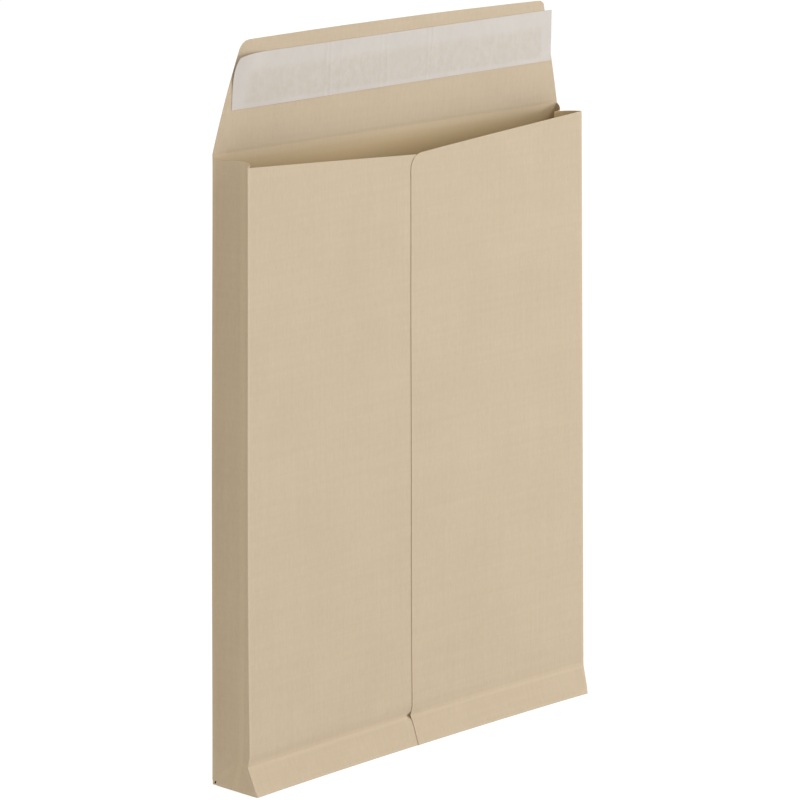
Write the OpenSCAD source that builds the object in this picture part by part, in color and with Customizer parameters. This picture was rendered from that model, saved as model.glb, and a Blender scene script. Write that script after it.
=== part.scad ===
// Gusseted kraft paper envelope, standing open on its base with the flap raised.
// +X runs along the width, the seamed front faces -Y, and the origin is the centre of the base.

/* [Sheet] */
// Thickness of the kraft paper
paper_t = 0.2; // [0.15:0.05:0.4]
// Width of the front and back panels
panel_w = 260; // [200:5:320]
// Height of the back panel, from the base to the flap fold
back_h = 330; // [250:5:420]
// Width of each side gusset opened flat, which is also the depth of the base
gusset_w = 33; // [28:1:44]

/* [Standing pose] */
// Front-to-back opening at the left end of the mouth
mouth_left = 25; // [12:0.5:27]
// Front-to-back opening at the right end of the mouth
mouth_right = 18; // [12:0.5:27]
// How far the crease above the base is pulled in at its left end
tuck_left = 7; // [1:0.1:9]
// How far the crease above the base is pulled in at its right end
tuck_right = 3.8; // [1:0.1:9]
// How far the left end of that crease is pinched in from the line of the front corner
pinch = 1.6; // [0:0.2:3]
// Height above the crease over which the pinch runs out
pinch_h = 6; // [4:1:20]
// How far the back panel leans forward at the left end of the flap fold
lean_left = 2.5; // [0:0.5:6]
// How far the back panel leans forward at the right end of the flap fold
lean_right = 4; // [0:0.5:6]
// How far the left end of the front is drawn in between the crease and the mouth
waist = 0.95; // [0:0.05:2]
// Inward bow of the left gusset's half panels
bow_left = 2; // [0:0.2:3.6]
// Outward bow of the right gusset's half panels
bow_right = 2.4; // [0:0.2:3.6]
// Inward hollow of the front at its middle
front_hollow = 2.4; // [0:0.2:4]

/* [Mouth] */
// Drop of the front panels' outer corners below the flap fold
corner_drop = 3.5; // [2:0.5:10]
// Slope of the front panels' top edges down towards the seam, in degrees
throat_angle = 3.6; // [0:0.1:6]
// Drop of the gussets' top edges below the flap fold
gusset_drop = 2.7; // [1:0.1:8]
// Length of the slanted cut that starts the left gusset's top edge at the back
notch_left = 3; // [2:0.5:10]
// Length of the slanted cut that starts the right gusset's top edge at the back
notch_right = 8; // [2:0.5:10]

/* [Seam] */
// Place of the seam's visible edge, from the middle of the front
seam_x = -6.5; // [-20:0.5:0]
// Width of the lap under the seam
lap_w = 16; // [12:1:24]
// How much higher the outer panel's top edge sits than the inner one's
seam_offset = 0.8; // [0:0.1:2]
// Gap between the two layers of the lap beside the glue line
lap_gap = 0.1; // [0.05:0.05:0.3]
// Width of the glue line that joins the lap
glue_w = 8; // [4:1:10]
// Radius of the outer panel's top corner at the seam
seam_corner_r = 8; // [2:0.5:10]

/* [Base] */
// Overlap of the two base flaps
base_lap = 12; // [6:1:20]

/* [Flap] */
// Length of the flap from its fold to the middle of its edge
flap_h = 58.4; // [45:0.2:80]
// How much narrower each end of the flap's edge is than its fold
flap_taper = 17; // [6:1:24]
// Rise of the flap's edge at its middle
flap_crown = 1; // [0.6:0.2:4]
// How much higher the right end of the flap's edge is cut than its left end
flap_skew = 1; // [0:0.1:2]
// Radius of the flap's left corner
flap_corner_left = 7; // [3:0.5:12]
// Radius of the flap's right corner
flap_corner_right = 3.5; // [3:0.5:12]
// Forward lean of the raised flap, in degrees
flap_lean = 4; // [0:0.5:12]

/* [Seal] */
// Width of the adhesive band
band_w = 18; // [12:1:20]
// Thickness of the adhesive band
band_t = 0.1; // [0.05:0.05:0.3]
// Distance of the band's upper corners from the flap's slanted ends
band_inset = 3; // [1:0.5:20]
// Width of the release liner
liner_w = 28; // [26:1:32]
// Thickness of the release liner
liner_t = 0.08; // [0.05:0.01:0.2]
// Distance of the liner from the middle of the flap's edge
liner_margin = 7.4; // [3:0.2:12]
// How far the liner runs past each end of the band
liner_over = 6; // [2:0.5:12]
// Shift of the liner along the flap
liner_x = 1.8; // [-4:0.2:4]
// How far the band lies below the liner's middle, which leaves a lip to peel by
peel_lip = 2.5; // [0:0.5:3]
// Turn of the seal against the flap fold, in degrees
seal_turn = 0.6; // [-1:0.1:1]
// Lift of the liner's loose corner off the flap
peel_h = 4.8; // [0:0.2:10]
// Length of the liner's loose end
peel_l = 26; // [10:1:40]

/* [Hidden] */

kraft = "#cdbb9c";
hot_melt = "#d8cfae";
silicone_paper = "#e6e1dc";

half_w = panel_w / 2;
half_gusset = gusset_w / 2;
glue_bite = 0.02;
glue_end = 1;
layer_pitch = paper_t - glue_bite;
foot_h = 2 * layer_pitch + 2 * paper_t;
lap_step = paper_t + lap_gap;
flap_reach = half_gusset + base_lap / 2;
relief = 2 * paper_t;
fold_bead_r = 0.65 * paper_t;
flap_shoulder = flap_h - flap_crown;
liner_s = flap_h - liner_margin - liner_w / 2;
band_s = liner_s - peel_lip;
band_l = 2 * (half_w - flap_taper * (band_s + band_w / 2) / flap_shoulder - band_inset);
liner_l = band_l + 2 * liner_over;
upper_rows = 8;
front_columns = 11;
corner_columns = 5;
base_columns = 13;
half_gusset_columns = 4;
flap_corner_points = 8;
liner_loose_columns = 7;
liner_rows = 8;
CREASE_ROW = 2;

function mix(a, b, f) = a + (b - a) * f;
function spread(a, b, n) = [for (i = [0 : n - 1]) mix(a, b, i / (n - 1))];
function across(left, right, x) = mix(left, right, x / panel_w + 0.5);
function hollow(x) = front_hollow * (1 - pow(x / half_w, 2));
function tuck(x) = across(tuck_left, tuck_right, x);

// Plan position of the walls at a height

// The walls' foot stands upright round the layers of the base, and they lean above it.
function back_y(x, z) =
    half_gusset - across(lean_left, lean_right, x) * max(0, z - foot_h) / (back_h - foot_h);

// The strip between the base and the crease keeps its width as the crease is pulled in.
function crease_z(x) = foot_h + sqrt(pow(half_gusset - foot_h, 2) - pow(tuck(x), 2));

function pinch_z(x) = crease_z(x) + pinch_h;

// The waist is deepest a third of the way up, and fades out towards the right.
function drawn_in(x, up) = waist * 27 / 4 * up * pow(1 - up, 2) * pow(across(1, 0, x), 2);

// Distance between the lines of the back and of the front's corners
function upper_depth(x, z) =
    let (up = (z - crease_z(x)) / (back_h - crease_z(x)))
    mix(gusset_w - tuck(x) + across(pinch, 0, x), across(mouth_left, mouth_right, x), up)
        - drawn_in(x, up);

function straight_depth(x, z) =
    z <= foot_h ? gusset_w
    : z <= crease_z(x) ? gusset_w - tuck(x) * (z - foot_h) / (crease_z(x) - foot_h)
    : z <= pinch_z(x) ? mix(gusset_w - tuck(x), upper_depth(x, pinch_z(x)), (z - crease_z(x)) / pinch_h)
    : upper_depth(x, z);

function depth(x, z) = straight_depth(x, z) - hollow(x);

function front_y(x, z) = back_y(x, z) - depth(x, z);

// Heights of the cut top edges

function left_top(x) = back_h - corner_drop - (x + half_w) * tan(throat_angle);

function right_edge_top(x) = back_h - corner_drop + seam_offset - (half_w - x) * tan(throat_angle);

function right_top(x) =
    let (run = max(0, seam_x + seam_corner_r - x))
    right_edge_top(x) - seam_corner_r + sqrt(max(0, pow(seam_corner_r, 2) - pow(run, 2)));

gusset_top = back_h - gusset_drop;

// The heights that a column of the sheet passes through, from the base up to its own top
function rows(x, top) =
    concat([0, foot_h, crease_z(x)], spread(pinch_z(x), top, upper_rows));

// Columns of points up the sheet. Each is [true on a vertical fold of the tube, its points].

function front_column(x, top, step, on_fold = false) =
    [on_fold, [for (z = rows(x, top)) [x, front_y(x, z) - step, z]]];

function back_column(side) =
    [true, [for (z = rows(side * half_w, back_h)) [side * half_w, back_y(side * half_w, z), z]]];

// The outer half of the front stands off the inner one at the lap, and runs back to the corner.
function outer_step(x) = lap_step * min(1, (half_w - x) / (half_w - seam_x - lap_w));

// A point of a gusset, at a share of the way from its back (-1) or front (1) corner to the middle
// fold. A half panel keeps its width, so the middle fold moves in as the opening narrows.
function gusset_point(side, end, share, z) =
    let (x = side * half_w,
         half_d = depth(x, z) / 2,
         most = across(-bow_left, bow_right, x),
         chord = half_gusset - 8 * pow(most, 2) / (3 * half_gusset),
         run_in = sqrt(max(0, pow(chord, 2) - pow(half_d, 2))),
         bow = 4 * most * share * (1 - share) / chord)
    [x - side * (share * run_in - bow * half_d),
     back_y(x, z) - half_d - end * ((1 - share) * half_d - bow * run_in), z];

// In the crease row a gusset's points lie on the diagonal folds, from a base corner to the apex,
// which the base holds halfway between its own middle and the middle of the opening there.
function diagonal_point(side, end, share) =
    let (x = side * half_w,
         crease_middle = back_y(x, crease_z(x)) - depth(x, crease_z(x)) / 2)
    mix([x, -end * half_gusset, foot_h],
        [x - side * tuck(x), crease_middle / 2, crease_z(x)], share);

// Below the crease row the gusset is part of the base's upright side.
function side_point(side, end, share, z) = [side * half_w, -end * (1 - share) * half_gusset, z];

function gusset_column(side, end, share) =
    let (heights = rows(side * half_w, gusset_top))
    [false, [for (row = [0 : len(heights) - 1])
        row < CREASE_ROW ? side_point(side, end, share, heights[row])
        : row == CREASE_ROW ? diagonal_point(side, end, share)
        : gusset_point(side, end, share, heights[row])]];

// Shares at which the columns of half a gusset stand, with the slanted cut's end on the first
function back_shares(side) =
    spread(across(notch_left, notch_right, side * half_w) / half_gusset, 1, half_gusset_columns);

front_shares = spread(1 / half_gusset_columns, 1 - 1 / half_gusset_columns, half_gusset_columns - 1);

function reversed(list) = [for (i = [len(list) - 1 : -1 : 0]) list[i]];

// A gusset's columns from the back corner to the front one
function gusset_columns(side) =
    concat(
        [for (share = back_shares(side)) gusset_column(side, -1, share)],
        [for (share = reversed(front_shares)) gusset_column(side, 1, share)]);

// The whole wrapped sheet: inner lap, left front, left gusset, back, right gusset, right front
function wrap_columns() =
    concat(
        [for (x = spread(seam_x + lap_w, -half_w, front_columns))
            front_column(x, left_top(x), 0, x == -half_w)],
        reversed(gusset_columns(-1)),
        [back_column(-1), back_column(1)],
        gusset_columns(1),
        [for (x = spread(half_w, seam_x + seam_corner_r, front_columns))
            front_column(x, right_top(x), outer_step(x), x == half_w)],
        [for (i = [1 : corner_columns])
            let (x = seam_x + seam_corner_r * (1 - sin(90 * i / corner_columns)))
            front_column(x, right_top(x), outer_step(x))]);

// Thickness for a grid of points, with mitred folds between its columns

function unit(v) = v / norm(v);

function rise(column, j) =
    column[min(j + 1, len(column) - 1)] - column[max(j - 1, 0)];

function side_normal(grid, i, j, step) =
    let (a = grid[i][j], b = grid[i + step][j])
    unit(step * cross(b - a, rise(grid[i], j)));

function mitre(grid, i, j) =
    let (before = side_normal(grid, i, j, i > 0 ? -1 : 1),
         after = side_normal(grid, i, j, i < len(grid) - 1 ? 1 : -1))
    (before + after) / (1 + before * after);

// A closed sheet of thickness t about a grid of points. A cell's diagonal starts on a fold's column.
module sheet(grid, t, folds = []) {
    n = len(grid);
    m = len(grid[0]);
    count = n * m;
    near = [for (i = [0 : n - 1]) for (j = [0 : m - 1]) grid[i][j] + mitre(grid, i, j) * t / 2];
    far = [for (i = [0 : n - 1]) for (j = [0 : m - 1]) grid[i][j] - mitre(grid, i, j) * t / 2];
    cells = [for (i = [0 : n - 2]) for (j = [0 : m - 2])
        let (a = i * m + j, b = a + m, c = b + 1, d = a + 1)
        len(folds) > 0 && !folds[i] && folds[i + 1] ? [[a, b, d], [b, c, d]] : [[a, b, c], [a, c, d]]];
    triangles = [for (pair = cells) for (triangle = pair) triangle];
    ends = [for (j = [0 : m - 2])
        for (rim = [[j, j + 1], [(n - 1) * m + j + 1, (n - 1) * m + j]]) rim];
    edges = [for (i = [0 : n - 2])
        for (rim = [[(i + 1) * m, i * m], [i * m + m - 1, (i + 1) * m + m - 1]]) rim];
    polyhedron(
        points = concat(near, far),
        faces = concat(
            [for (f = triangles) [f[2], f[1], f[0]]],
            [for (f = triangles) [f[0] + count, f[1] + count, f[2] + count]],
            [for (r = concat(ends, edges))
                for (f = [[r[1] + count, r[1], r[0]], [r[0] + count, r[1] + count, r[0]]]) f]));
}

// Parts of the envelope's one sheet

module wrap() {
    columns = wrap_columns();
    sheet([for (c = columns) c[1]], paper_t, [for (c = columns) c[0]]);
}

// The glue line stops short of the crease and of the rounded corner at its top.
module seam_glue() {
    middle = seam_x + lap_w / 2;
    heights = [pinch_z(middle) + glue_end, left_top(middle) - seam_corner_r];
    sheet([for (x = [middle + glue_w / 2, middle - glue_w / 2])
            [for (z = heights) [x, front_y(x, z) - lap_step / 2, z]]],
        lap_gap + 2 * glue_bite);
}

function front_edge(from, to, outer) =
    [for (x = spread(from, to, base_columns)) [x, hollow(x) - half_gusset - outer * outer_step(x)]];

// A trapezium with a relief and a mitre at each end. Its outer edge is the given one.
module base_flap(outer_edge) {
    end = half_w - relief - flap_reach;
    linear_extrude(paper_t)
        polygon(concat(
            outer_edge,
            [[end, flap_reach - half_gusset], [-end, flap_reach - half_gusset]]));
}

// The right gusset's end, folded in flat over both base flaps
module side_tuck() {
    linear_extrude(paper_t)
        polygon(concat(
            front_edge(half_w - flap_reach, half_w, 0),
            [[half_w, half_gusset], [half_w - flap_reach, half_gusset]]));
}

// The front's base flap hangs from the inner panel left of the seam, and from the outer one right of it.
module base() {
    seam = seam_x + paper_t;
    base_flap(concat(
        front_edge(relief - half_w, seam, 0),
        front_edge(seam, half_w - relief, 1)));
    translate([0, 0, layer_pitch])
        rotate(180)
            base_flap([[relief - half_w, -half_gusset], [half_w - relief, -half_gusset]]);
    for (side = [0, 1])
        translate([0, 0, 2 * layer_pitch])
            mirror([side, 0, 0])
                side_tuck();
}

// Places what is drawn flat on the raised flap: X along the fold, Y up the flap, Z out of its front
module on_flap() {
    translate([0, back_y(0, back_h), back_h])
        rotate([90 + flap_lean, 0, -atan((lean_right - lean_left) / panel_w)])
            children();
}

function arc_points(centre, r, from, to, n) =
    [for (a = spread(from, to, n)) centre + r * [cos(a), sin(a)]];

// Half of the flap's outline, from the fold to the middle of the crowned edge, drawn to the right.
// It has a corner of radius r, and its end is cut higher by the given rise.
function flap_side(r, rise) =
    let (shoulder = flap_shoulder + rise,
         slant = atan(flap_taper / shoulder),
         edge_w = half_w - flap_taper,
         tilt = atan((2 * flap_crown - rise) / edge_w),
         turn = 90 - slant - tilt,
         reach = r * tan(turn / 2),
         start = [edge_w + reach * sin(slant), shoulder - reach * cos(slant)],
         centre = start - r * [cos(slant), sin(slant)])
    concat(
        [[half_w - 2 * relief, 0], [half_w - 2 * relief, relief], [half_w, 2 * relief]],
        arc_points(centre, r, slant, slant + turn, flap_corner_points),
        [for (f = [0.75, 0.5, 0.25]) [edge_w * f, flap_h - flap_crown * f * f + rise * f]],
        [[0, flap_h]]);

module flap() {
    right = flap_side(flap_corner_right, flap_skew / 2);
    mirrored = flap_side(flap_corner_left, -flap_skew / 2);
    left = [for (p = reversed(mirrored)) if (p[0] > 0) [-p[0], p[1]]];
    on_flap()
        translate([0, 0, -paper_t / 2])
            linear_extrude(paper_t)
                polygon(concat(right, left));
}

// The crushed paper of the flap's fold, which ends just short of the corners
module fold_bead() {
    on_flap()
        rotate([0, 90, 0])
            cylinder(h = panel_w - 2 * relief, r = fold_bead_r, center = true, $fn = 12);
}

module envelope() {
    color(kraft)
        union() {
            wrap();
            seam_glue();
            base();
            flap();
            fold_bead();
        }
}

// Places what lies on the flap's inner face, about the middle of the liner
module on_seal() {
    on_flap()
        translate([0, liner_s, paper_t / 2])
            rotate(seal_turn)
                children();
}

module adhesive_band() {
    color(hot_melt)
        on_seal()
            translate([-band_l / 2, -band_w / 2 - peel_lip, 0])
                cube([band_l, band_w, band_t]);
}

// The loose end curls up towards its top corner, and keeps its width as it is drawn down by that.
function liner_point(x, up) =
    let (lift = peel_h * pow(max(0, 1 - (x + liner_l / 2) / peel_l), 2))
    [x, liner_w * (up - 0.5) - 0.9 * pow(lift, 2) * pow(up, 5) / liner_w, lift * pow(up, 3)];

function liner_column(x) = [for (up = spread(0, 1, liner_rows)) liner_point(x, up)];

module release_liner() {
    loose = spread(-liner_l / 2, peel_l - liner_l / 2, liner_loose_columns);
    color(silicone_paper)
        on_seal()
            translate([liner_x, 0, band_t + liner_t / 2])
                sheet([for (x = concat(loose, [liner_l / 2])) liner_column(x)], liner_t);
}

envelope();
adhesive_band();
release_liner();
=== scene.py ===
"""Looks of the gusseted kraft paper envelope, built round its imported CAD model.

The folded sheet, the adhesive band and the release liner are made again as fine meshes in the places
of their CAD nodes, with the same folds and sizes, so that their folds are rounded and their paper has
a surface. Lengths are in millimetres until a mesh is made. The floor, the lamps and the lens are in
metres, and angles are given in degrees.
"""

import math

import bpy
import numpy as np
from mathutils import Matrix, Vector


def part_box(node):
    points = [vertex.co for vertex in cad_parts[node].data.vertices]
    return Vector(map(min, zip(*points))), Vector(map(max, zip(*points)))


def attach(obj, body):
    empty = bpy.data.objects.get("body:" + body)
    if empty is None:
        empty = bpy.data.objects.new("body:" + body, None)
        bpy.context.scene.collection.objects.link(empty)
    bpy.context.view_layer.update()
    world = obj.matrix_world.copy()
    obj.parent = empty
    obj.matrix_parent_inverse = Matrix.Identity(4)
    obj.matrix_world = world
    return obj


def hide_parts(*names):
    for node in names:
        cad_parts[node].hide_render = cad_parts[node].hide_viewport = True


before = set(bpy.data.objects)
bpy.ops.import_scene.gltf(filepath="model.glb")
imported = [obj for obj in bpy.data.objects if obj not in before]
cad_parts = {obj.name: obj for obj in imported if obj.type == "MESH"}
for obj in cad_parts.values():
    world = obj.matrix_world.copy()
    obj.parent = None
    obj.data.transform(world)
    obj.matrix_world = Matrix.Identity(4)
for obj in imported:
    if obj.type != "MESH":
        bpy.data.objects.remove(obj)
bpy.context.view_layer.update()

MM = 0.001

# The sheet, as in the CAD model
paper_t = 0.2
flap_h = 58.4
flap_lean = 4
lap_w = 16
lap_step = 0.3
seam_x = -6.5
seam_corner_r = 8
seam_offset = 0.8
corner_drop = 3.5
throat_angle = 3.6
gusset_drop = 2.7
notch = (3, 8)
front_notch = 1.6
base_lap = 12
glue_bite = 0.02
relief = 2 * paper_t
flap_taper = 17
flap_crown = 1
flap_skew = 1
flap_corner_r = (7, 3.5)

# The standing pose, as in the CAD model: values at the left and at the right end of the width
mouth = (25, 18)
tuck = (7, 3.8)
lean = (2.5, 4)
pinch = (1.6, 0)
pinch_h = 6
waist = 0.95
gusset_bow = (-2, 2.4)
front_hollow = 2.4

# The seal, as in the CAD model
band_w, band_t, band_inset = 18, 0.1, 3
liner_w, liner_t, liner_over = 28, 0.08, 6
liner_margin = 7.4
liner_x = 1.8
peel_lip = 2.5
seal_turn = 0.6
peel_h = 4.8
peel_l = 26

# From here to the overall sizes: details that only the scene has, not the CAD model

# How near to a fold, to the base's rim and to the base's corners the paper is rounded
fold_reach, rim_reach, corner_reach = 1.6, 1.2, 2.5

# Heights of the paper's slow waves, and how far they fade out from the sides, the base and the liner
front_wave, back_wave, flap_wave = 0.22, 0.4, 0.12
calm_w, calm_h, calm_flap = 25, 60, 8

# The scored line of the flap's fold, and the bow of its slanted ends at the left and at the right
groove_depth, groove_w = 0.14, 0.7
end_bow = (0.9, 0.35)

# How far the back's left edge stands out at mid height, and how wide a strip of the paper goes with it
edge_bulge, edge_bulge_w = 0.5, 20

# The pucker where the base's crease meets the seam: panel, depth, drop below the crease, width, height
PUCKER = (("right", 0.65, 0, 6, 2.6), ("left", 0.65, 0, 8, 3), ("left", 1.7, 0.2, 2.6, 1.1))

# The pinhole at the foot of the left gusset: its distance from the back corner, its height, and its dent
pinhole_s, pinhole_h = 2.2, 1.3
dent_depth, dent_w = 0.6, 1.2

# Height of one layer of the base, and the way in which a base flap rises over the layers below it
layer_h, layer_run = 0.22, 2

# Where the left base flap starts to rise over the right one, before the seam, and for how long it does
lap_rise_from, lap_rise_l = 14, 10

# The painted warm shade inside the pocket fades out up the back panel: from this far below the flap's
# fold, in this length, and only this near to the panel
fade_from, fade_l, fade_near = 11, 16, 4

# The band is a little smaller than the CAD's, and the glue wanders at its long edges
band_short, band_w_share, band_t_share = 0.4, 0.985, 0.96
band_wander = 0.18

# The liner's unevenness, and how far from the curled end it is whole
puff_h, puff_from = 0.06, 20

# How much the curl draws the liner's top edge in
curl_draw = 0.9

# The liner's loose right end, and how far the cut at that end slants
loose_h, loose_l = 0.05, 8
cut_slant = 1.6

# Creases across the liner: place along it, lean, width and height
LINER_CREASES = (
    (-54, 0.02, 0.6, 0.12), (-50.5, -0.03, 0.6, 0.12), (-43, 0.05, 0.7, 0.05), (-13.5, 0.02, 0.7, 0.08),
    (-9, -0.04, 0.7, 0.1), (22, 0.0, 0.6, 0.12), (25, 0.04, 0.6, 0.14), (61, -0.05, 1.2, 0.06),
)

# The overall sizes, measured on the frame
low, high = (np.array(corner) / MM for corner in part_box("envelope"))
foot_x = max(abs(v.co.x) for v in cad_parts["envelope"].data.vertices if v.co.z < 0.1 * MM)
half_w = round(foot_x / MM - paper_t / 2, 1)
half_gusset = round((high[1] - low[1] - paper_t) / 2, 1)

# The highest point of the flap's crowned and skewed edge gives the height of its fold
flap_top = flap_h + (flap_skew / 2) ** 2 / (4 * flap_crown)
back_h = round(high[2] - flap_top * math.cos(math.radians(flap_lean)), 1)
foot_h = 4 * paper_t - 2 * glue_bite


def mix(a, b, f):
    return a + (b - a) * f


def smooth(f):
    """f kept between 0 and 1, with a soft start and a soft end."""
    f = np.clip(f, 0, 1)
    return f * f * (3 - 2 * f)


liner_s = flap_h - liner_margin - liner_w / 2
band_reach = flap_taper * (liner_s - peel_lip + band_w / 2) / (flap_h - flap_crown)
band_l = 2 * (half_w - band_reach - band_inset)
liner_l = band_l + 2 * liner_over


# Places of the walls


def across(ends, x):
    """A value at x, from those at the left and at the right end of the width."""
    return mix(ends[0], ends[1], x / (2 * half_w) + 0.5)


def hollow(x):
    """How far the front lies behind the line between its corners."""
    return front_hollow * (1 - (x / half_w) ** 2)


def back_y(x, z):
    """Place of the leaning back panel at a height."""
    return half_gusset - across(lean, x) * np.maximum(0, z - foot_h) / (back_h - foot_h)


def crease_z(x):
    """Height of the base's crease."""
    return foot_h + np.sqrt((half_gusset - foot_h) ** 2 - across(tuck, x) ** 2)


def depth(x, z):
    """Distance from the back panel to the line of the front's corners at a height."""
    crease = crease_z(x)
    crease_depth = 2 * half_gusset - across(tuck, x)

    def upper(z):
        up = (z - crease) / (back_h - crease)

        # The waist is deepest a third of the way up, where 27 / 4 makes its curve 1
        drawn_in = waist * 27 / 4 * up * (1 - up) ** 2 * across((1, 0), x) ** 2
        return mix(crease_depth + across(pinch, x), across(mouth, x), up) - drawn_in

    strip = 2 * half_gusset - across(tuck, x) * np.maximum(0, z - foot_h) / (crease - foot_h)
    pinched = mix(crease_depth, upper(crease + pinch_h), (z - crease) / pinch_h)
    return np.where(z <= crease, strip, np.where(z <= crease + pinch_h, pinched, upper(z)))


def front_y(x, z):
    """Place of the front at a height."""
    return back_y(x, z) - depth(x, z) + hollow(x)


def outer_step(x):
    """How far the right front half lies before the left one, which it laps over."""
    return lap_step * np.minimum(1, (half_w - x) / (half_w - seam_x - lap_w))


def left_top(x):
    """Height of the left front half's top edge."""
    return back_h - corner_drop - (x + half_w) * math.tan(math.radians(throat_angle))


def right_top(x):
    """Height of the right front half's top edge, whose corner at the seam is rounded."""
    edge = back_h - corner_drop + seam_offset - (half_w - x) * math.tan(math.radians(throat_angle))
    run = max(0, seam_x + seam_corner_r - x)
    return edge - seam_corner_r + math.sqrt(max(0, seam_corner_r**2 - run**2))


# Places of the sheet's columns and rows, close together where it is folded

PLAIN = (0,)
FINE = (0, 0.25, 0.5, 0.8, 1.3, 2.2)
CURVED = (0, 0.05, 0.2, 0.45, 0.8, 1.3, 2, 2.9, 4, 5.4, 7, 8)


def stations(a, b, pitch, first=FINE, last=FINE):
    """Places from a to b, with their own steps at the first and the last end."""
    way = math.copysign(1, b - a)
    start = [a + way * f for f in first]
    end = [b - way * f for f in reversed(last)]
    count = max(2, round(abs(end[0] - start[-1]) / pitch))
    return np.array(start + list(np.linspace(start[-1], end[0], count + 1)[1:-1]) + end)


shares = stations(0, half_gusset, pitch=1.6) / half_gusset
foot_rows = np.array([paper_t / 2, 0.3, 0.5])
pinch_rows = stations(0, pinch_h, pitch=1)[1:] / pinch_h
upper_rows = stations(0, 1, pitch=0.013, first=PLAIN, last=(0, 0.001, 0.003))[1:]


def heights(x, top):
    """Heights of the points of a column, from the base to its top."""
    crease = crease_z(x)
    return np.concatenate([
        foot_rows,
        mix(foot_h, crease, shares),
        crease + pinch_h * pinch_rows,
        mix(crease + pinch_h, top, upper_rows),
    ])


def front_column(x, top, step):
    z = heights(x, top)
    return np.stack([np.full_like(z, x), front_y(x, z) - step, z], -1)


def back_column(x):
    z = heights(x, back_h)
    return np.stack([np.full_like(z, x), back_y(x, z), z], -1)


def gusset_point(side, end, share, z):
    """A point of a bowed gusset: end is -1 on its back half and 1 on its front half."""
    x = side * half_w
    half_d = depth(x, z) / 2
    most = across(gusset_bow, x)

    # The bowed half is as long as the flat one is wide, so its chord is shorter
    chord = half_gusset - 8 * most**2 / (3 * half_gusset)
    run_in = np.sqrt(np.maximum(0, chord**2 - half_d**2))
    bow = 4 * most * share * (1 - share) / chord
    return np.stack([
        x - side * (share * run_in - bow * half_d),
        back_y(x, z) - half_d - end * ((1 - share) * half_d - bow * run_in),
        z,
    ], -1)


def gusset_column(side, end, share, corner, corner_top):
    """A column of a gusset. corner is the column that its half shares with the front or the back."""
    x = side * half_w
    crease = crease_z(x)
    base_corner = np.array([x, -end * half_gusset, foot_h])
    base_middle = np.array([x, 0, foot_h])
    crease_middle = back_y(x, crease) - depth(x, crease) / 2
    apex = np.array([x - side * across(tuck, x), crease_middle / 2, crease])
    foot = np.stack([
        np.full(len(foot_rows), x),
        np.full(len(foot_rows), -end * (1 - share) * half_gusset),
        foot_rows], -1)
    on_base = mix(base_corner, base_middle, share)
    on_diagonal = mix(base_corner, apex, share)
    pinched = gusset_point(side, end, share, np.array(crease + pinch_h))
    pinched_corner = gusset_point(side, end, 0, np.array(crease + pinch_h))

    # Heights as shares of the crease's height, at which the diagonal fold is met at the same share
    reach = 1 + pinch_h / (crease - foot_h)
    levels = np.concatenate([shares, mix(1, reach, pinch_rows)])
    lower = []
    for k, level in enumerate(levels):
        if level <= share:
            lower.append(on_base + level * (apex - base_middle))
            continue
        ruled = mix(on_diagonal, pinched, (level - share) / (reach - share))
        corner_ruled = mix(base_corner, pinched_corner, level / reach)
        pull = corner[len(foot_rows) + k] - corner_ruled
        lower.append(ruled + pull * max(0, 1 - share / min(1, level)))

    run = across(notch, x) if end < 0 else front_notch
    top = mix(corner_top, back_h - gusset_drop, min(1, share * half_gusset / run))
    upper = gusset_point(side, end, share, mix(crease + pinch_h, top, upper_rows))
    return np.concatenate([foot, lower, upper])


def gusset_columns(side, front, front_top, behind):
    """The columns of a gusset from the back to the front, without those of its two corners."""
    to_fold = [gusset_column(side, -1, share, behind, back_h) for share in shares[1:]]
    from_fold = [gusset_column(side, 1, share, front, front_top) for share in shares[1:-1]]
    return to_fold + from_fold[::-1]


# A folded sheet: grids of points that are sewn together


class Sheet:
    """The middle surface of a sheet of paper, with the way across and up its flat blank at each point.

    soft says how many times a point is drawn towards its neighbours, which rounds the folds.
    """

    def __init__(self):
        self.points, self.flat, self.soft, self.quads, self.count = [], [], [], [], 0

    def add(self, points, flat, soft=0.0):
        """Adds a grid of points and returns their numbers."""
        number = np.arange(self.count, self.count + points.shape[0] * points.shape[1])
        self.points.append(points.reshape(-1, 3))
        self.flat.append(np.broadcast_to(flat, points.shape[:2] + (2,)).reshape(-1, 2))
        self.soft.append(np.broadcast_to(soft, points.shape[:2]).reshape(-1))
        self.count += len(number)
        return number.reshape(points.shape[:2])

    def face(self, grid):
        """Fills a grid of point numbers with quads."""
        a, b, c, d = grid[:-1, :-1], grid[1:, :-1], grid[1:, 1:], grid[:-1, 1:]
        self.quads.append(np.stack([a, d, c, b], -1).reshape(-1, 4))

    def finished(self):
        """The points, their flat places and the quads, with the folds rounded."""
        points = np.concatenate(self.points)
        flat = np.concatenate(self.flat)
        soft = np.concatenate(self.soft)
        quads = np.concatenate(self.quads)
        edges = np.sort(edges_of(quads), 1)
        pairs, inverse = np.unique(edges, axis=0, return_inverse=True)
        rim = np.bincount(inverse.reshape(-1)) == 1

        # A point on the sheet's rim is only drawn towards its neighbours along the rim
        on_rim = np.zeros(len(points), bool)
        on_rim[pairs[rim].reshape(-1)] = True
        linked = pairs[rim | ~(on_rim[pairs[:, 0]] & on_rim[pairs[:, 1]])]
        for turn in range(int(soft.max())):
            total, links = np.zeros_like(points), np.zeros((len(points), 1))
            for a, b in ((0, 1), (1, 0)):
                counts = ~on_rim[linked[:, a]] | on_rim[linked[:, b]]
                np.add.at(total, linked[counts, a], points[linked[counts, b]])
                np.add.at(links, linked[counts, a], 1)
            mean = total / np.maximum(links, 1)
            moves = (links > 0) & (soft > turn)[:, None]
            points = np.where(moves, mix(points, mean, 0.5), points)
        return points, flat, quads


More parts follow.
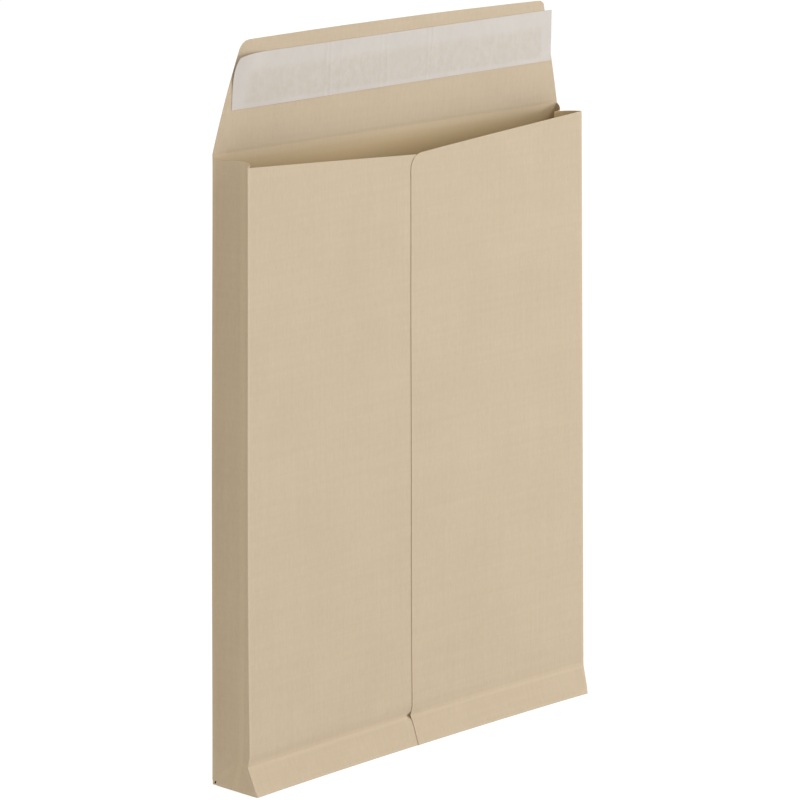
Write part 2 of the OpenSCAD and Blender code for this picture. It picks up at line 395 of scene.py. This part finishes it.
def edges_of(quads):
    """Each quad's four edges in its own direction."""
    return np.concatenate([quads[:, [k, (k + 1) % 4]] for k in range(4)])


def normals_of(points, quads):
    """The direction that the surface faces at each point."""
    across_a = points[quads[:, 2]] - points[quads[:, 0]]
    across_b = points[quads[:, 3]] - points[quads[:, 1]]
    face = np.cross(across_a, across_b)
    total = np.zeros_like(points)
    for k in range(4):
        np.add.at(total, quads[:, k], face)
    return total / np.maximum(np.linalg.norm(total, axis=1, keepdims=True), 1e-12)


def thicken(points, quads, thickness):
    """A closed solid of a thickness about a surface: points, faces and each point's surface point."""
    normal = normals_of(points, quads)
    count = len(points)
    edges = edges_of(quads)
    key = np.sort(edges, 1) @ np.array([count, 1])
    _, first, uses = np.unique(key, return_index=True, return_counts=True)
    rim = edges[first[uses == 1]]
    solid = np.concatenate([points + normal * thickness / 2, points - normal * thickness / 2])
    faces = np.concatenate([
        quads,
        quads[:, ::-1] + count,
        np.stack([rim[:, 1], rim[:, 0], rim[:, 0] + count, rim[:, 1] + count], -1)])
    return solid, faces, np.tile(np.arange(count), 2)


def mesh_object(name, points, faces, attributes, sharp=40):
    """An object whose edges are sharp past an angle in degrees, with attributes of its points."""
    mesh = bpy.data.meshes.new(name)
    mesh.from_pydata((points * MM).tolist(), [], faces.tolist())
    for key, values in attributes.items():
        kind = "FLOAT" if values.ndim == 1 else "FLOAT_VECTOR"
        mesh.attributes.new(key, kind, "POINT").data.foreach_set(
            "value" if values.ndim == 1 else "vector", values.astype(np.float32).ravel())
    mesh.validate()
    mesh.shade_smooth()
    mesh.set_sharp_from_angle(angle=math.radians(sharp))
    made = bpy.data.objects.new(name, mesh)
    bpy.context.scene.collection.objects.link(made)
    return made


def solid_object(name, sheet, thickness, marks=None):
    """The sheet as a closed solid. marks makes more attributes of its points."""
    points, flat, quads = sheet.finished()
    solid, faces, source = thicken(points, quads, thickness)
    blank = np.concatenate([flat[source], np.zeros((len(source), 1))], 1) * MM
    more = marks(solid, source) if marks else {}
    return mesh_object(name, solid, faces, {"blank": blank, **more})


# The raised flap's own plane


def turned(x, z):
    """A turn about X and then one about Z, in degrees."""
    return Matrix.Rotation(math.radians(z), 4, "Z") @ Matrix.Rotation(math.radians(x), 4, "X")


fold_turn = -math.degrees(math.atan((lean[1] - lean[0]) / (2 * half_w)))
fold_middle = Vector((0, back_y(0, back_h), back_h))
flap_place = Matrix.Translation(fold_middle) @ turned(90 + flap_lean, fold_turn)
seal_place = flap_place @ Matrix.Translation((0, liner_s, paper_t / 2)) @ turned(0, seal_turn)


def placed(matrix, points):
    """The points moved by a matrix."""
    matrix = np.array(matrix)
    return points @ matrix[:3, :3].T + matrix[:3, 3]


def flap_rim(t):
    """A point of the flap's rim between its slanted ends, for t from -1 (left) to 1 (right)."""
    side = math.copysign(1, t)
    rise = side * flap_skew / 2
    radius = flap_corner_r[1 if t > 0 else 0]
    shoulder = flap_h - flap_crown + rise
    slant = math.atan(flap_taper / shoulder)
    edge_w = half_w - flap_taper
    tilt = math.atan((2 * flap_crown - rise) / edge_w)
    turn = math.pi / 2 - slant - tilt
    reach = radius * math.tan(turn / 2)
    start = np.array([edge_w + reach * math.sin(slant), shoulder - reach * math.cos(slant)])
    centre = start - radius * np.array([math.cos(slant), math.sin(slant)])

    # The rounded corner takes a small share of t, and the crowned edge takes the rest
    arc_share = 0.015 * radius
    past = (1 - abs(t)) / arc_share
    if past < 1:
        angle = slant + turn * past
        x, y = centre + radius * np.array([math.cos(angle), math.sin(angle)])
    else:
        x = (centre[0] + radius * math.cos(slant + turn)) * abs(t) / (1 - arc_share)
        y = flap_h - flap_crown * (x / edge_w) ** 2 + rise * x / edge_w
    return np.array([side * x, y])


# The walls of the envelope


def waves(x, z):
    """Slow unevenness of a paper panel, of about 1 at most."""
    return (0.45 * np.sin(0.031 * x + 0.017 * z + 1.1) + 0.3 * np.sin(-0.019 * x + 0.043 * z + 4.0)
            + 0.25 * np.sin(0.067 * x - 0.029 * z + 2.3))


def bump(x, z, x0, z0, wide, tall):
    """A bump that is 1 high at x0 and z0."""
    return np.exp(-((x - x0) / wide) ** 2 - ((z - z0) / tall) ** 2)


def fold_groove(away):
    """Depth of the scored line of the flap's fold, at a distance from it."""
    return groove_depth * np.exp(-(away / groove_w) ** 2)


def near(value, places, reach=fold_reach, passes=4):
    """The passes of softening that a fold gives: none out of reach of its places."""
    return passes * np.any([np.abs(value - place) < reach for place in places], axis=0).astype(float)


class Walls:
    """The walls as columns of points, round from the lap at the front by the left to the seam.

    u and v say how far round and how far up the flat blank a point lies. soft is as in a Sheet.
    """

    def __init__(self):
        # The columns of the left front half are finer where the paper puckers by the seam
        fine_from, fine_to = seam_x + 2, seam_x - 6
        left_x = np.concatenate([
            stations(seam_x + lap_w, fine_from, pitch=4, last=PLAIN)[:-1],
            stations(fine_from, fine_to, pitch=0.5, first=PLAIN, last=PLAIN),
            stations(fine_to, -half_w, pitch=4, first=PLAIN)[1:]])
        right_x = stations(half_w, seam_x, pitch=4, last=CURVED)
        left = [front_column(x, left_top(x), 0) for x in left_x]
        right = [front_column(x, right_top(x), outer_step(x)) for x in right_x]
        back = [back_column(x) for x in stations(-half_w, half_w, pitch=4)]
        left_side = gusset_columns(-1, left[-1], left_top(-half_w), back[0])[::-1]
        right_side = gusset_columns(1, right[0], right_top(half_w), back[-1])
        self.columns = np.array(left + left_side + back + right_side + right)

        self.panel, start = {}, 0
        for name, columns in (("left", left), ("left_side", left_side), ("back", back),
                              ("right_side", right_side), ("right", right)):
            self.panel[name] = slice(start, start + len(columns))
            start += len(columns)

        middle = self.columns.shape[1] // 2
        steps_round = np.linalg.norm(np.diff(self.columns[:, middle], axis=0), axis=1)
        steps_up = np.linalg.norm(np.diff(self.columns, axis=1), axis=2)
        self.u = np.concatenate([[0], np.cumsum(steps_round)])[:, None]
        self.v = np.cumsum(np.pad(steps_up, ((0, 0), (1, 0))), 1)
        self.flat = np.stack(np.broadcast_arrays(self.u, self.v), -1)

        front_corners = (self.panel["left"].stop - 1, self.panel["right"].start)
        back_corners = (self.panel["back"].start, self.panel["back"].stop - 1)
        self.back_left = self.u[back_corners[0], 0]
        self.corners = self.u[[*front_corners, *back_corners], 0]
        self.soft = np.zeros(self.v.shape)

    def soften(self, where, passes):
        self.soft[where] = np.maximum(self.soft[where], passes)

    def round_folds(self):
        panel, u, v, everywhere = self.panel, self.u, self.v, slice(None)
        sides = (panel["left_side"], panel["right_side"])
        middles = [mix(u[p.start, 0], u[p.stop - 1, 0], 0.5) for p in sides]
        self.soften(everywhere, near(u, [*self.corners, *middles]))

        # The base's rim, more so at its corners, and the flap's fold
        self.soften(everywhere, near(v, [0], rim_reach))
        self.soften(everywhere, near(v, [0], corner_reach) * near(u, self.corners, corner_reach))
        self.soften(panel["back"], near(self.columns[panel["back"]][..., 2], [back_h], rim_reach))

        # The crease across the front. The paper's two edges at the seam stay as they are
        crease_row = len(foot_rows) + len(shares) - 1
        for p in (panel["left"], panel["right"]):
            self.soften(p, near(v[p] - v[p, crease_row:crease_row + 1], [0]))
        self.soft[[0, -1]] = 0

        # The diagonal folds, where a row's share of the crease's height is the column's share of the way
        # to the gusset's middle
        to_middle = np.concatenate([shares[1:], shares[-2:0:-1]])
        level = np.full(v.shape[1], -1.0)
        level[len(foot_rows):crease_row + 1] = shares
        for p in sides:
            self.soften(p, near(level - to_middle[:, None], [0], reach=0.03, passes=2))

    def bend(self):
        """Adds the paper's waves, the pucker, the flap's groove and the left edge's bulge."""
        panel, columns = self.panel, self.columns
        x, z = columns[..., 0], columns[..., 2]
        calm = smooth((half_w - np.abs(x)) / calm_w) * smooth(z / calm_h)
        for p in (panel["left"], panel["right"]):
            columns[p][..., 1] += front_wave * calm[p] * waves(x[p], z[p])

        # The back's waves are of another part of the same pattern, and they fade out at the flap's fold
        p = panel["back"]
        calm_top = smooth((back_h - z[p]) / calm_h)
        columns[p][..., 1] += back_wave * calm_top * calm[p] * waves(x[p], z[p] + 200)
        columns[p][..., 1] += fold_groove(z[p] - back_h)

        for name, deep, drop, wide, tall in PUCKER:
            p = panel[name]
            columns[p][..., 1] += deep * bump(x[p], z[p], seam_x, crease_z(seam_x) - drop, wide, tall)

        p = slice(panel["left_side"].start, panel["back"].stop)
        by_edge = 1 - smooth(np.abs(self.u[p] - self.back_left) / edge_bulge_w)
        columns[p][..., 0] -= edge_bulge * np.sin(math.pi * z[p] / back_h) ** 2 * by_edge

    def pierce(self):
        """Finds the points round the pinhole, and dents the paper there."""
        places = shares * half_gusset
        beside, above = (np.argmin(np.abs(places - size)) for size in (pinhole_s, pinhole_h))
        self.hole = self.panel["back"].start - beside
        self.hole_rows = slice(len(foot_rows), len(foot_rows) + above + 1)
        self.soft[self.hole:self.hole + 2, self.hole_rows] = 0
        p = self.panel["left_side"]
        u, z = self.u[p], self.columns[p][..., 2]
        at_hole = bump(u, z, self.u[self.hole], pinhole_h, dent_w, dent_w)
        self.columns[p][..., 0] += dent_depth * at_hole

    def sew(self, sheet):
        """Adds the walls to a sheet, but for the pinhole."""
        self.numbers = sheet.add(self.columns, self.flat, self.soft)
        hole, rows = self.hole, self.hole_rows
        sheet.face(self.numbers[:hole + 1])
        sheet.face(self.numbers[hole:hole + 2, :rows.start + 1])
        sheet.face(self.numbers[hole:hole + 2, rows.stop - 1:])
        sheet.face(self.numbers[hole + 1:])


# The base, the flap and the whole envelope


def add_base_flap(sheet, walls, where, inward, layers, reach):
    """A base flap below some columns, with a number of layers below it.

    Its first row is its inner edge, and its last is the foot of the wall.
    """
    rows = stations(0, 1, pitch=0.2, first=PLAIN, last=(0, 0.01, 0.02, 0.035, 0.06, 0.1))[:-1]
    foot = walls.columns[where, 0]
    way_in = (1 - rows) * reach[:, None]
    points = foot[:, None] + way_in[..., None] * np.array(inward)
    from_fold = smooth(way_in / layer_run)
    points[..., 2] = foot[:, None, 2] + from_fold * layer_h * layers
    if inward[0]:
        # The edges of a side's flap stay behind the walls, also where the front is hollow
        x, y = points[..., 0], points[..., 1]
        front_share = 0.5 - y / (2 * half_gusset)
        points[..., 1] = y * (1 - relief * from_fold / half_gusset) + hollow(x) * front_share
    foot_u = np.repeat(walls.u[where], len(rows), 1)
    made = sheet.add(points, np.stack([foot_u, -way_in], -1), near(way_in, [0], rim_reach))
    grid = np.concatenate([made, walls.numbers[where, :1]], 1)

    # A mitre's tip, where the flap has no reach, is left out
    sheet.face(grid[reach > 0.05])


def add_base(sheet, walls):
    """The mitred flaps of the front and of the back, and over them those of the two sides."""
    panel = walls.panel
    whole_reach = half_gusset + base_lap / 2
    x = walls.columns[:, 0, 0]
    mitred = np.minimum(whole_reach, np.maximum(0, half_w - relief - np.abs(x)))
    over_right = smooth((x - seam_x + lap_rise_from) / lap_rise_l)[:, None]
    for name, way, layers in (("left", 1, over_right[panel["left"]]), ("right", 1, 0), ("back", -1, 2)):
        add_base_flap(sheet, walls, panel[name], (0, way, 0), layers, mitred[panel[name]])
    for name, way in (("left_side", 1), ("right_side", -1)):
        with_corners = slice(panel[name].start - 1, panel[name].stop + 1)
        reach = np.full(with_corners.stop - with_corners.start, whole_reach)
        add_base_flap(sheet, walls, with_corners, (way, 0, 0), 3, reach)


def add_raised_flap(sheet, walls):
    """The flap, which goes on from the back panel."""
    back = walls.panel["back"]
    x = walls.columns[back, -1, 0]
    rows = stations(0, flap_h, pitch=3, last=(0, 0.5, 1.2))[1:] / flap_h
    fold_line = np.stack([x, np.zeros_like(x)], -1)[:, None]
    rim = np.array([flap_rim(v / half_w) for v in x])[:, None]
    on_flap = mix(fold_line, rim, rows[None, :, None])
    bow = across(end_bow, x) * (x / half_w) ** 5
    on_flap[..., 0] += bow[:, None] * np.sin(math.pi * rows) ** 0.7

    # Above the liner the paper is uneven
    beside, up = on_flap[..., 0], on_flap[..., 1]
    above_liner = smooth((up - liner_s - liner_w / 2) / calm_flap)
    out = flap_wave * above_liner * waves(3 * beside, 70) - fold_groove(up)
    points = placed(flap_place, np.concatenate([on_flap, out[..., None]], -1))
    flat = walls.flat[back, -1][:, None] + on_flap - fold_line
    made = sheet.add(points, flat, near(up, [0], rim_reach))
    sheet.face(np.concatenate([walls.numbers[back, -1:], made], 1))


def build_envelope():
    sheet, walls = Sheet(), Walls()
    walls.round_folds()
    walls.bend()
    walls.pierce()
    walls.sew(sheet)
    add_base(sheet, walls)
    add_raised_flap(sheet, walls)

    def marks(solid, source):
        """fold is 1 where the paper is folded, and the mark of the painted warm shade is 1 on the side
        that faces the pocket, fading out up the back panel.
        """
        fold = (np.concatenate(sheet.soft) > 0).astype(float)[source]
        inner_side = np.arange(len(source)) >= len(source) // 2
        x, y, z = solid.T
        on_back = np.where(z < back_h, 1 - smooth((back_y(x, z) - y) / fade_near), 1)
        by_fold = smooth((z - back_h + fade_from) / fade_l) * on_back
        return {"fold": fold, "pocket_shade": inner_side * (1 - by_fold)}

    envelope = solid_object("envelope_sheet", sheet, paper_t, marks)
    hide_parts("envelope")
    return envelope


# The seal


def strip_grid(length, width, pitches, steps):
    """Places along and across a strip, whose steps at its ends and at its long edges are given."""
    along, over = (stations(-size / 2, size / 2, pitch, first=ends, last=ends)
                   for size, pitch, ends in zip((length, width), pitches, steps))
    return np.meshgrid(along, over, indexing="ij")


def strip_object(name, place, points, flat, thickness):
    sheet = Sheet()
    sheet.face(sheet.add(placed(place, points)[:, ::-1], flat))
    return solid_object(name, sheet, thickness)


def build_band():
    x, s = strip_grid(band_l, band_w, (3, 2), ((0, 0.4, 1.2), (0, 0.3, 0.9)))
    wander = band_wander * np.sin(0.9 * x) * np.sin(0.23 * x + 1)
    at_edge = 1 - (1 - np.abs(s) / (band_w / 2)) ** 0.2
    points = np.stack([
        x * (1 - band_short / band_l),
        s * band_w_share + wander * at_edge - peel_lip,
        np.full_like(x, band_t / 2)], -1)
    flat = np.stack([x, s], -1)
    band = strip_object("adhesive_strip", seal_place, points, flat, band_t * band_t_share)
    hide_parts("adhesive_band")
    return band


def build_liner():
    x, s = strip_grid(liner_l, liner_w, (0.7, 1.4), ((0, 0.4), (0, 0.4)))
    up = s / liner_w + 0.5
    from_left = x + liner_l / 2

    # The curled left end, whose top edge lifts the most and is drawn in
    curl = peel_h * np.maximum(0, 1 - from_left / peel_l) ** 2
    drawn = curl_draw * curl**2 * up**5 / liner_w

    # The unevenness of the rest, its creases and its loose right end
    uneven = 1 + np.sin(0.11 * x + 0.6) * np.sin(0.16 * s + 0.9)
    puff = puff_h * smooth(from_left / puff_from) * uneven
    for place, slope, wide, tall in LINER_CREASES:
        puff += tall * np.exp(-((x - place - slope * s) / wide) ** 2)
    loose = smooth((x - liner_l / 2 + loose_l) / loose_l)
    wave = loose_h * loose * (np.sin(0.45 * s + 1.2) + 1)
    cut = cut_slant * up * smooth(x / liner_l + 0.5) ** 8
    height = curl * up**4 + puff + wave + band_t + liner_t / 2
    points = np.stack([x - cut, s - drawn, height], -1)
    place = seal_place @ Matrix.Translation((liner_x, 0, 0))
    flat = np.stack([x, s], -1)[:, ::-1]
    liner = strip_object("liner_strip", place, points, flat, liner_t)
    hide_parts("release_liner")
    return liner


# Materials


def linear(r, g, b):
    """A colour written as 0 to 255, in Blender's linear values."""
    def channel(c):
        c /= 255
        return c / 12.92 if c <= 0.04045 else ((c + 0.055) / 1.055) ** 2.4
    return (channel(r), channel(g), channel(b), 1)


class Nodes:
    """Short ways to make and link the nodes of a material or of the world."""

    def __init__(self, owner):
        owner.use_nodes = True
        self.owner = owner
        self.tree = owner.node_tree
        self.shader = self.tree.nodes.get("Principled BSDF")

    def put(self, socket, value):
        if isinstance(value, bpy.types.NodeSocket):
            self.tree.links.new(value, socket)
        else:
            socket.default_value = value

    def node(self, kind, inputs=None, out=0, **settings):
        made = self.tree.nodes.new(kind)
        for key, value in settings.items():
            setattr(made, key, value)
        for key, value in (inputs or {}).items():
            self.put(made.inputs[key], value)
        return made.outputs[out]

    def blank(self, scale=(1, 1, 1)):
        """Places on the flat sheet, in metres times the scale."""
        place = self.node("ShaderNodeAttribute", attribute_name="blank", out=1)
        return self.node("ShaderNodeMapping", {"Vector": place, "Scale": scale})

    def noise(self, scale, stretch=(1, 1, 1), detail=4.0, rough=0.55):
        return self.node("ShaderNodeTexNoise", {
            "Vector": self.blank(stretch), "Scale": scale, "Detail": detail, "Roughness": rough})

    def ramp(self, value, low, high):
        """Maps a value from low[0] and high[0] to low[1] and high[1]."""
        return self.node("ShaderNodeMapRange", {
            "Value": value, "From Min": low[0], "From Max": high[0],
            "To Min": low[1], "To Max": high[1]})

    def math(self, operation, a, b=0.0):
        return self.node("ShaderNodeMath", {0: a, 1: b}, operation=operation)

    def mix(self, fac, a, b, blend="MIX"):
        inputs = {0: fac, 6: a, 7: b}
        return self.node("ShaderNodeMix", inputs, out=2, data_type="RGBA", blend_type=blend)

    def bump(self, height, distance, strength):
        inputs = {"Height": height, "Distance": distance, "Strength": strength}
        return self.node("ShaderNodeBump", inputs)

    def surface(self, **values):
        """Sets the shader's inputs, and gives back what the nodes belong to."""
        for key, value in values.items():
            self.put(self.shader.inputs[key.replace("_", " ")], value)
        return self.owner


def kraft_material():
    n = Nodes(bpy.data.materials.new("kraft_paper"))
    cloud = n.noise(28, detail=3)
    fibre = n.noise(900, (1, 0.22, 1), detail=5, rough=0.65)
    ribs = n.noise(520, (1, 0.03, 1), detail=2)
    bars = n.noise(430, (0.03, 1, 1), detail=2)
    tone = n.mix(n.ramp(cloud, (0.3, 0), (0.7, 1)), linear(201, 186, 167), linear(204, 189, 170))
    lines = n.math("MULTIPLY", n.math("ADD", ribs, bars), 0.25)
    grain = n.math("ADD", n.math("MULTIPLY", fibre, 0.5), lines)
    darker = n.mix(1.0, tone, linear(247, 246, 244), "MULTIPLY")
    tone = n.mix(n.ramp(grain, (0.36, 0), (0.64, 1)), tone, darker)
    # The paper is a little lighter along its folds
    fold = n.node("ShaderNodeAttribute", attribute_name="fold", out=2)
    tone = n.mix(n.math("MULTIPLY", fold, 0.22), tone, linear(216, 201, 179))
    # Painted warm shade: the side of the paper that faces the pocket is darker and warmer, fading out
    # towards the flap's fold
    pocket_shade = n.node("ShaderNodeAttribute", attribute_name="pocket_shade", out=2)
    tone = n.mix(pocket_shade, tone, linear(197, 176, 141))
    normal = n.bump(grain, 0.00025, 0.25)
    return n.surface(Base_Color=tone, Roughness=n.ramp(fibre, (0.3, 0.74), (0.7, 0.88)), Normal=normal)


def liner_material():
    n = Nodes(bpy.data.materials.new("liner_paper"))
    along, up = (n.node("ShaderNodeSeparateXYZ", {"Vector": n.blank()}, out=k) for k in (0, 1))
    ragged = n.math("MULTIPLY", n.math("SUBTRACT", n.noise(420), 0.5), 0.004)

    def within(value, edge, blur):
        """1 below an edge, 0 past it, in millimetres."""
        return n.ramp(n.math("ADD", value, ragged), ((edge - blur) * MM, 1), ((edge + blur) * MM, 0))

    # The band shows through where the liner sticks to it, which its loose end doesn't
    foot = within(n.math("MULTIPLY", up, -1.0), band_w / 2 + peel_lip, 0.6)
    head = within(up, band_w / 2 - peel_lip - 2, 1.8)
    right = within(along, band_l / 2 - liner_x, 1)
    loose = n.math("SUBTRACT", n.math("MULTIPLY", up, 0.25), along)
    left = within(loose, liner_l / 2 - 12, 2)
    stuck = n.math("MULTIPLY", n.math("MULTIPLY", foot, head), n.math("MULTIPLY", left, right))
    blotches = n.ramp(n.noise(260, (1, 0.9, 1), detail=6, rough=0.75), (0.38, 0.2), (0.6, 1))
    stuck = n.math("MULTIPLY", stuck, blotches)
    cloud = n.ramp(n.noise(60), (0.35, 0), (0.65, 1))
    paper = n.mix(cloud, linear(202, 198, 199), linear(206, 202, 203))
    tone = n.mix(n.math("MULTIPLY", stuck, 0.8), paper, linear(197, 191, 184))
    streaks = n.noise(300, (1, 0.4, 1), detail=5, rough=0.7)
    tone = n.mix(n.ramp(streaks, (0.45, 0), (0.7, 0.35)), tone, linear(211, 207, 206))
    height = n.math("ADD", n.math("MULTIPLY", streaks, 0.4), n.math("MULTIPLY", stuck, 0.5))
    return n.surface(Base_Color=tone, Roughness=n.ramp(stuck, (0, 0.62), (1, 0.72)),
                     Specular_IOR_Level=0.4, Normal=n.bump(height, 0.0003, 0.2))


def adhesive_material():
    n = Nodes(bpy.data.materials.new("hot_melt"))
    cloud = n.ramp(n.noise(300), (0.35, 0), (0.65, 1))
    tone = n.mix(cloud, linear(206, 190, 148), linear(222, 208, 170))
    return n.surface(Base_Color=tone, Roughness=n.ramp(n.noise(700), (0.3, 0.2), (0.7, 0.4)),
                     Normal=n.bump(n.noise(500), 0.0003, 0.4))


# Camera, floor and lights


def direction(azimuth, elevation):
    """The way from the envelope towards an azimuth, which is 0 in front of it, and an elevation."""
    azimuth, elevation = math.radians(azimuth), math.radians(elevation)
    return Vector((math.sin(azimuth) * math.cos(elevation),
                   -math.cos(azimuth) * math.cos(elevation), math.sin(elevation)))


def add_camera():
    """The photograph's camera, fitted to the envelope's corners."""
    back, roll = direction(-46.70, 12.61), math.radians(0.29)
    distance, focal_px, image_px = 2149 * MM, 4026, 800
    target = Vector((10.9, 16.5, 181.6)) * MM
    right = Vector((0, 0, 1)).cross(back).normalized()
    up = back.cross(right)
    right, up = (right * math.cos(roll) + up * math.sin(roll),
                 up * math.cos(roll) - right * math.sin(roll))
    half_pixel = 0.5 * distance / focal_px
    place = target + back * distance + (up - right) * half_pixel
    data = bpy.data.cameras.new("camera")
    data.sensor_width = 36
    data.lens = focal_px / image_px * data.sensor_width
    data.clip_start, data.clip_end = 0.1, 60
    camera = bpy.data.objects.new("camera", data)
    camera.matrix_world = Matrix.Translation(place) @ Matrix((right, up, back)).transposed().to_4x4()
    bpy.context.scene.collection.objects.link(camera)
    bpy.context.scene.camera = camera


def seen_directly(n):
    """1 for what the camera sees, also in a mirror or through glass."""
    path = n.node("ShaderNodeLightPath")
    outputs = path.node.outputs
    seen = n.math("MAXIMUM", outputs["Is Camera Ray"], outputs["Is Glossy Ray"])
    return n.math("MAXIMUM", seen, outputs["Is Transmission Ray"])


def add_floor(tone, bounce, shown, shown_share):
    """A pale floor that lights the envelope from below.

    It is nearly white to the camera, but for the shadow, by a share of plain white in what is seen.
    """
    half = 20
    corners = [(-half, -half, 0), (half, -half, 0), (half, half, 0), (-half, half, 0)]
    mesh = bpy.data.meshes.new("floor")
    mesh.from_pydata(corners, [], [(0, 1, 2, 3)])
    floor = bpy.data.objects.new("floor", mesh)

    # Just below the base's underside, so that the two don't fall together
    floor.location.z = -0.02 * MM
    bpy.context.scene.collection.objects.link(floor)
    n = Nodes(bpy.data.materials.new("floor"))
    n.surface(Base_Color=(tone, tone, tone, 1), Roughness=0.9, Specular_IOR_Level=0.0,
              Emission_Color=(1, 1, 1, 1), Emission_Strength=bounce)
    white = n.node("ShaderNodeEmission", {"Color": (1, 1, 1, 1), "Strength": shown})
    share = n.math("MULTIPLY", seen_directly(n), shown_share)
    both = n.node("ShaderNodeMixShader", {0: share, 1: n.shader.outputs[0], 2: white})
    n.put(n.tree.nodes["Material Output"].inputs["Surface"], both)
    mesh.materials.append(n.owner)


def add_world(level, color):
    """An even light from all round, which the camera sees as white."""
    world = bpy.data.worlds.new("studio")
    bpy.context.scene.world = world
    n = Nodes(world)
    light = n.node("ShaderNodeBackground", {"Color": (*color, 1), "Strength": level})
    shown = n.node("ShaderNodeBackground", {"Color": (1, 1, 1, 1), "Strength": 1.0})
    both = n.node("ShaderNodeMixShader", {0: seen_directly(n), 1: light, 2: shown})
    n.put(n.tree.nodes["World Output"].inputs["Surface"], both)


def add_lamp(name, azimuth, elevation, size, power, distance=2.6):
    """A round softbox that faces the envelope's middle."""
    middle = Vector((0, 0, 0.2))
    way = direction(azimuth, elevation)
    data = bpy.data.lights.new(name, "AREA")
    data.shape, data.size, data.energy = "DISK", size, power
    lamp = bpy.data.objects.new(name, data)
    lamp.location = middle + way * distance
    lamp.rotation_mode = "QUATERNION"
    lamp.rotation_quaternion = way.to_track_quat("Z", "Y")
    bpy.context.scene.collection.objects.link(lamp)


def light_scene():
    add_world(level=0.79, color=(1, 0.935, 0.77))
    add_floor(tone=0.62, bounce=0.19, shown=1.18, shown_share=0.72)
    add_lamp("key", azimuth=34, elevation=38, size=1.1, power=9.7)
    add_lamp("side_key", azimuth=62, elevation=5, size=0.8, power=24.8)
    add_lamp("back", azimuth=165, elevation=30, size=1.2, power=10)
    bpy.context.scene.view_settings.view_transform = "Standard"


# The scene

add_camera()
light_scene()
for piece, material in (
        (build_envelope(), kraft_material()),
        (build_band(), adhesive_material()),
        (build_liner(), liner_material())):
    piece.data.materials.append(material)
    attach(piece, "root")
